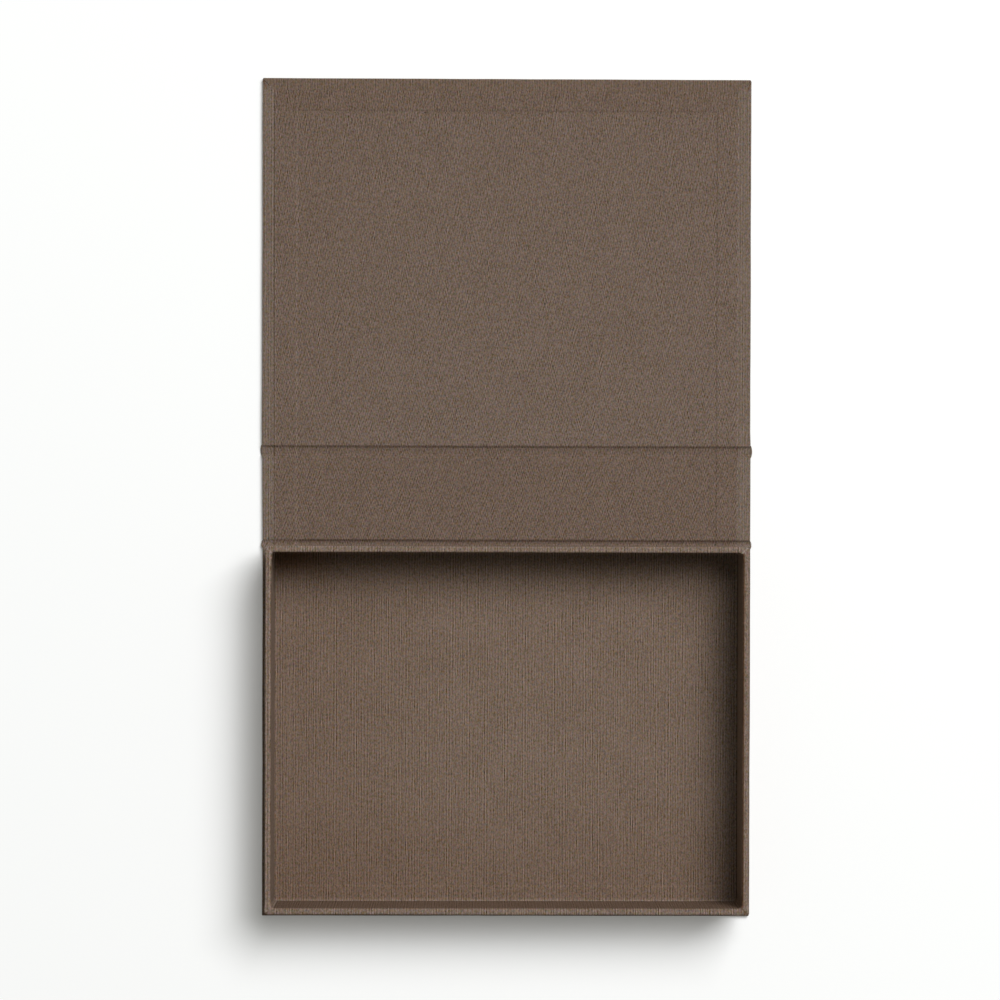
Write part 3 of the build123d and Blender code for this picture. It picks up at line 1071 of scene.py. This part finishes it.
def wall_push(plan, flip, front_map, inset, level, away):
    """How far a wall's cloth stands proud there, from its ears, swells and leans."""
    if away[1] < -0.3 or inset > RIM_WIDTH - HAIR:
        return 0.0
    from_end = TRAY_HALF.y - plan.y
    outward = max(0.0, -away[0]) * level / tray_high.z
    inward = max(0.0, away[0])
    spot = (flip[0] * plan.x, flip[1] * plan.y, level)
    push = unevenness(spot, *WALL_WAVER) + unevenness(spot, *WALL_RIPPLE)
    if not front_map:
        push += EAR_SWELL * ramp(inset - from_end + EAR_LENGTH, 0, EAR_SLOPE)
    if flip[1] < 0 and from_end < RIM_WIDTH / 2:
        push += FRONT_RIM_SWELL * outward
    if not front_map or flip[1] > 0:
        rim = "back" if front_map else "left" if flip[0] < 0 else "right"
        push += INNER_RIM_SWELL[rim] * inward
    if flip == (-1, 1) and not front_map:
        push -= LEFT_OUTER_LEAN * (1 - ramp(from_end, *LEFT_OUTER_LEAN_ENDS)) * outward
        push += LEFT_INNER_LEAN * (1 - ramp(from_end, *LEFT_INNER_LEAN_ENDS)) * inward
    return push


def wall_shade(kind, t, flip, front_map, inset, level, away, shade):
    """Shade of a wall's cloth, from the profile's shade passed in, with painted light and shade.
    """
    # Painted light on the left inner wall, which faces the lamp, and painted shade on the right
    # one.
    if shade < 0 and not front_map:
        shade = LEFT_WALL_PAINTED_LIGHT if flip[0] < 0 else RIGHT_WALL_PAINTED_SHADE
    on_inner_round = inset > RIM_WIDTH - RIM_ROUND - HAIR and level > tray_high.z - RIM_ROUND
    # Painted shade on the right rim's inner edge, which faces away from the lamp.
    if flip[0] > 0 and not front_map and on_inner_round:
        shade = RIGHT_RIM_PAINTED_SHADE
    # Frayed mitres with painted light and shade.
    on_rim = away[1] > 0.3 and level > tray_high.z / 2
    if kind == "arc" and abs(t - 0.5) < 0.1 and on_rim:
        shade = MITRE_FRAY_AND_PAINTED_LIGHT[flip]
    # Painted highlight down the front left inner corner, which faces the lamp.
    if kind == "arc" and flip == (-1, -1) and inset > RIM_WIDTH - RIM_ROUND:
        shade = WORN_EDGE
    return shade


def tray_sheet():
    """The whole tray cover: its walls, station by station, and its flat underside."""
    section = wall_profile()
    columns = []
    for flip in ((1, 1), (-1, 1), (-1, -1), (1, -1)):
        flip_x, flip_y = flip
        quarter = tray_quarter()
        if flip_x * flip_y < 0:
            quarter.reverse()
        for kind, t, front_map in quarter:
            rank = []
            reach = -UNDER_EDGE
            last = section[0][:2]
            for inset, level, shade, away, radius in section:
                plan, out = tray_place(kind, t, inset, radius)
                reach += math.hypot(inset - last[0], level - last[1])
                last = (inset, level)
                tone_and_painted_light = wall_shade(kind, t, flip, front_map, inset, level, away, shade)
                push = wall_push(plan, flip, front_map, inset, level, away)
                plan = plan - out * away[0] * push
                point = (
                    TRAY_CENTRE.x + flip_x * plan.x,
                    TRAY_CENTRE.y + flip_y * plan.y,
                    level + away[1] * push * RIM_LIFT,
                )
                cloth_place = (flip_x * (TRAY_HALF.x + reach), point[1])
                if front_map:
                    cloth_place = (point[0], TRAY_CENTRE.y + flip_y * (TRAY_HALF.y + reach))
                rank.append((point, cloth_place, tone_and_painted_light))
            columns.append(rank)
    rows = len(section)
    points = [point for rank in columns for point, _, _ in rank]
    tone_and_painted_light_values = [tone_and_painted_light for rank in columns for _, _, tone_and_painted_light in rank]
    faces = []
    uv = []
    for i in range(len(columns)):
        following = (i + 1) % len(columns)
        for j in range(rows - 1):
            corners = ((i, j), (following, j), (following, j + 1), (i, j + 1))
            faces.append([a * rows + b for a, b in corners])
            uv += [columns[a][b][1] for a, b in corners]
    under = [-t for t in reversed(TRAY_RUN[1:])] + TRAY_RUN
    first = len(points)
    for share_y in under:
        for share_x in under:
            across = TRAY_CENTRE.x + share_x * (TRAY_HALF.x - UNDER_EDGE)
            along = TRAY_CENTRE.y + share_y * (TRAY_HALF.y - UNDER_EDGE)
            points.append((across, along, tray_low.z))
            tone_and_painted_light_values.append(0.0)
    wide = len(under)
    for i in range(wide - 1):
        for j in range(wide - 1):
            corners = ((i, j), (i + 1, j), (i + 1, j + 1), (i, j + 1))
            face = [first + a * wide + b for a, b in corners]
            faces.append(face)
            uv += [points[k][:2] for k in face]
    return build_sheet("tray_cover_sheet", points, faces, uv, tone_and_painted_light_values)


tray_cloth = cloth_finish(
    "tray_cloth", TRAY_BROWN, slubs=0.96, nap=1.02, clouds=0.14, lean=0.0, run=18.0, seed=40.0
)
tray_cover = settle(tray_sheet(), tray_cloth)
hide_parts("tray_cover")
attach(tray_cover, "tray")

# ---------------------------------------------------------------------------
# Tray floor lining. A rectangle of the cloth is laid on the tray's floor last of
# all, cut just shy of the walls. The wall cloth that is turned out on the floor
# shows through it as a low step all round.

FLOOR_FRONT_REACH = 0.25 * mm
FLOOR_REACHES = (0.22 * mm, 0.12 * mm)
floor_lining_low, floor_lining_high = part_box("tray_floor_lining")
floor_lining_low.y -= FLOOR_FRONT_REACH
FLOOR_FRONT = floor_lining_low.y
FLOOR_BACK = floor_lining_high.y
FLOOR_HALF = floor_lining_high.x
FLOOR_STEP_X = TRAY_HALF.x - RIM_WIDTH - FLOOR_FLAP
FLOOR_STEP_Y = TRAY_HALF.y - RIM_WIDTH - FLOOR_FLAP
FLOOR_CURL = 0.75 * mm
FLOOR_WAVER = 0.04 * mm

FLOOR_BROWN = (0.1595, 0.1122, 0.0849)
# How much of the cut edge, with its painted shade at the cut, shows on the left and right.
FLOOR_EDGE_SHARES = (0.12, 0.6)
# Painted shade on the floor's left and front, and along the back wall's shadow, deepest in its
# left corner; painted light in the right wall's shadow.
FLOOR_LEFT_PAINTED_SHADE = -0.36
FLOOR_LEFT_FADE = (0.05, 0.5)
FLOOR_FRONT_PAINTED_SHADE = -0.52
FLOOR_FRONT_FADE = (0, 0.45)
FLOOR_BACK_PAINTED_SHADE = -0.35
FLOOR_BACK_FADE = (3 * mm, 12 * mm)
CORNER_PAINTED_SHADE = -1.3
CORNER_FADE_ACROSS = (0.03, 0.16)
CORNER_FADE_FORWARD = (5 * mm, 14 * mm)
RIGHT_PAINTED_LIGHT = 0.4
RIGHT_PAINTED_LIGHT_FADE = (FLOOR_HALF - 14 * mm, FLOOR_HALF - 6 * mm)
FRONT_PALE_WIDTH = 0.8 * mm


def lines_between(low, high, step_low, step_high):
    """Places across a sheet, close together at its edges and its steps."""
    return stops(
        (low, low + 1.5 * mm, 0.15 * mm),
        (low + 1.5 * mm, step_low - 3 * mm, 1 * mm),
        (step_low - 3 * mm, step_low + 3 * mm, 0.3 * mm),
        (step_low + 3 * mm, step_high - 3 * mm, 4.5 * mm),
        (step_high - 3 * mm, step_high + 3 * mm, 0.3 * mm),
        (step_high + 3 * mm, high - 1.5 * mm, 1 * mm),
        (high - 1.5 * mm, high, 0.15 * mm),
    )


def floor_shade(x, y):
    """The floor's shade: painted shade at left, front and back corner, painted light at right."""
    side = int(x > 0)
    across = (x + FLOOR_HALF) / (2 * FLOOR_HALF)
    along = (y - FLOOR_FRONT) / (FLOOR_BACK - FLOOR_FRONT)
    from_back = FLOOR_BACK - y
    in_corner = 1 - ramp(across, *CORNER_FADE_ACROSS)
    in_corner *= 1 - ramp(from_back, *CORNER_FADE_FORWARD)
    shade = FLOOR_LEFT_PAINTED_SHADE * (1 - ramp(across, *FLOOR_LEFT_FADE))
    shade += FLOOR_FRONT_PAINTED_SHADE * (1 - ramp(along, *FLOOR_FRONT_FADE))
    shade += FLOOR_BACK_PAINTED_SHADE * (1 - ramp(from_back, *FLOOR_BACK_FADE))
    shade += CORNER_PAINTED_SHADE * in_corner
    shade += RIGHT_PAINTED_LIGHT * ramp(x, *RIGHT_PAINTED_LIGHT_FADE)
    shade += CUT_EDGE_PALE * line_shade(y - FLOOR_FRONT, FRONT_PALE_WIDTH)
    shade += FLOOR_EDGE_SHARES[side] * cut_edge(FLOOR_HALF + FLOOR_REACHES[side] - abs(x))
    return shade


floor_cloth = cloth_finish(
    "floor_cloth", FLOOR_BROWN, slubs=0.98, nap=0.82, clouds=0.14, lean=0.0, run=8.0, seed=60.0
)
floor_lining = flat_sheet(
    "tray_floor_sheet",
    lines_between(
        -FLOOR_HALF - FLOOR_REACHES[0],
        FLOOR_HALF + FLOOR_REACHES[1],
        -FLOOR_STEP_X,
        FLOOR_STEP_X,
    ),
    lines_between(
        FLOOR_FRONT,
        FLOOR_BACK,
        TRAY_CENTRE.y - FLOOR_STEP_Y,
        TRAY_CENTRE.y + FLOOR_STEP_Y,
    ),
    floor_shade,
)
press_sheet(
    floor_lining,
    floor_cloth,
    level=TRAY_FLOOR,
    step=CLOTH,
    step_width=STEP_WIDTH,
    side_step=FLOOR_STEP_X,
    back_step=TRAY_CENTRE.y - FLOOR_STEP_Y,
    front_step=TRAY_CENTRE.y + FLOOR_STEP_Y,
    sheet_half=FLOOR_HALF,
    sheet_back=FLOOR_FRONT,
    sheet_front=FLOOR_BACK,
    groove_near=FAR_OFF,
    groove_far=FAR_OFF + 1,
    groove_depth=0,
    groove_wall=HAIR,
    groove_fall=0,
    hem_ease=0,
    curl=FLOOR_CURL,
    waver=FLOOR_WAVER,
)
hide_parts("tray_floor_lining")
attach(floor_lining, "tray")
2 * FLOOR_HALF + sum(FLOOR_REACHES)

# ---------------------------------------------------------------------------
# Studio. A pale table that stays white where it is lit and keeps the box's soft
# shadow, one broad lamp high on the right behind the lid, and a camera overhead.

TABLE_SIZE = 4.0
TABLE_DROP = 0.05 * mm
TABLE_WHITE = (0.86, 0.870, 0.876, 1)
TABLE_GLOW = 0.12
LAMP_PLACE = Vector((1.94, 2.38, 4.8))
LAMP_AIM = Vector((0, 0.1, 0))
LAMP_SIZE = 3.35
LAMP_POWER = 352.0
SKY_STRENGTH = 0.17
SKY_COLOUR = (0.99, 0.985, 0.865, 1)
CAMERA_PLACE = Vector((-0.01474, 0.0930, 1.5659))
CAMERA_TURN = (math.radians(-0.735), math.radians(-0.763), math.radians(0.15))
FOCAL_PIXELS = 3320.1
VIEW_PIXELS = 1000
PRINCIPAL = (519.4, 576.25)


def looked_at(tree):
    """1 where the eye looks, straight on or by way of gloss or glass, and 0 elsewhere."""
    path = tree.nodes.new("ShaderNodeLightPath")
    seen = Value(tree, path.outputs["Is Camera Ray"])
    for ray in ("Is Glossy Ray", "Is Transmission Ray"):
        seen = seen.sum("MAXIMUM", Value(tree, path.outputs[ray]))
    return seen


def table_finish():
    material, table, shader = new_finish("table")
    shader["Base Color"].default_value = TABLE_WHITE
    shader["Roughness"].default_value = 1.0
    shader["Specular IOR Level"].default_value = 0.0
    shader["Emission Color"].default_value = (1, 1, 1, 1)
    plug(table.tree, shader["Emission Strength"], looked_at(table.tree) * TABLE_GLOW)
    return material


def add_table():
    mesh = bpy.data.meshes.new("table")
    half = TABLE_SIZE / 2
    corners = [(-half, -half, 0), (half, -half, 0), (half, half, 0), (-half, half, 0)]
    mesh.from_pydata(corners, [], [(0, 1, 2, 3)])
    mesh.materials.append(table_finish())
    table = bpy.data.objects.new("table", mesh)
    table.location.z = -TABLE_DROP
    bpy.context.scene.collection.objects.link(table)


def add_light():
    lamp = bpy.data.lights.new("window_lamp", "AREA")
    lamp.shape = "SQUARE"
    lamp.size = LAMP_SIZE
    lamp.energy = LAMP_POWER
    holder = bpy.data.objects.new("window_lamp", lamp)
    holder.location = LAMP_PLACE
    holder.rotation_euler = (LAMP_AIM - LAMP_PLACE).to_track_quat("-Z", "Y").to_euler()
    bpy.context.scene.collection.objects.link(holder)


def add_sky():
    world = bpy.data.worlds.new("studio")
    world.use_nodes = True
    bpy.context.scene.world = world
    sky = world.node_tree
    background = sky.nodes["Background"]
    background.inputs["Color"].default_value = SKY_COLOUR
    white = looked_at(sky) * (1.0 - SKY_STRENGTH)
    plug(sky, background.inputs["Strength"], SKY_STRENGTH + white)


def add_camera():
    camera = bpy.data.cameras.new("overhead")
    camera.sensor_width = 36
    camera.lens = camera.sensor_width * FOCAL_PIXELS / VIEW_PIXELS
    camera.shift_x = (VIEW_PIXELS / 2 - PRINCIPAL[0]) / VIEW_PIXELS
    camera.shift_y = (PRINCIPAL[1] - VIEW_PIXELS / 2) / VIEW_PIXELS
    holder = bpy.data.objects.new("overhead", camera)
    holder.location = CAMERA_PLACE
    holder.rotation_euler = CAMERA_TURN
    bpy.context.scene.collection.objects.link(holder)
    bpy.context.scene.camera = holder


add_table()
add_light()
add_sky()
add_camera()
bpy.context.scene.view_settings.view_transform = "Standard"
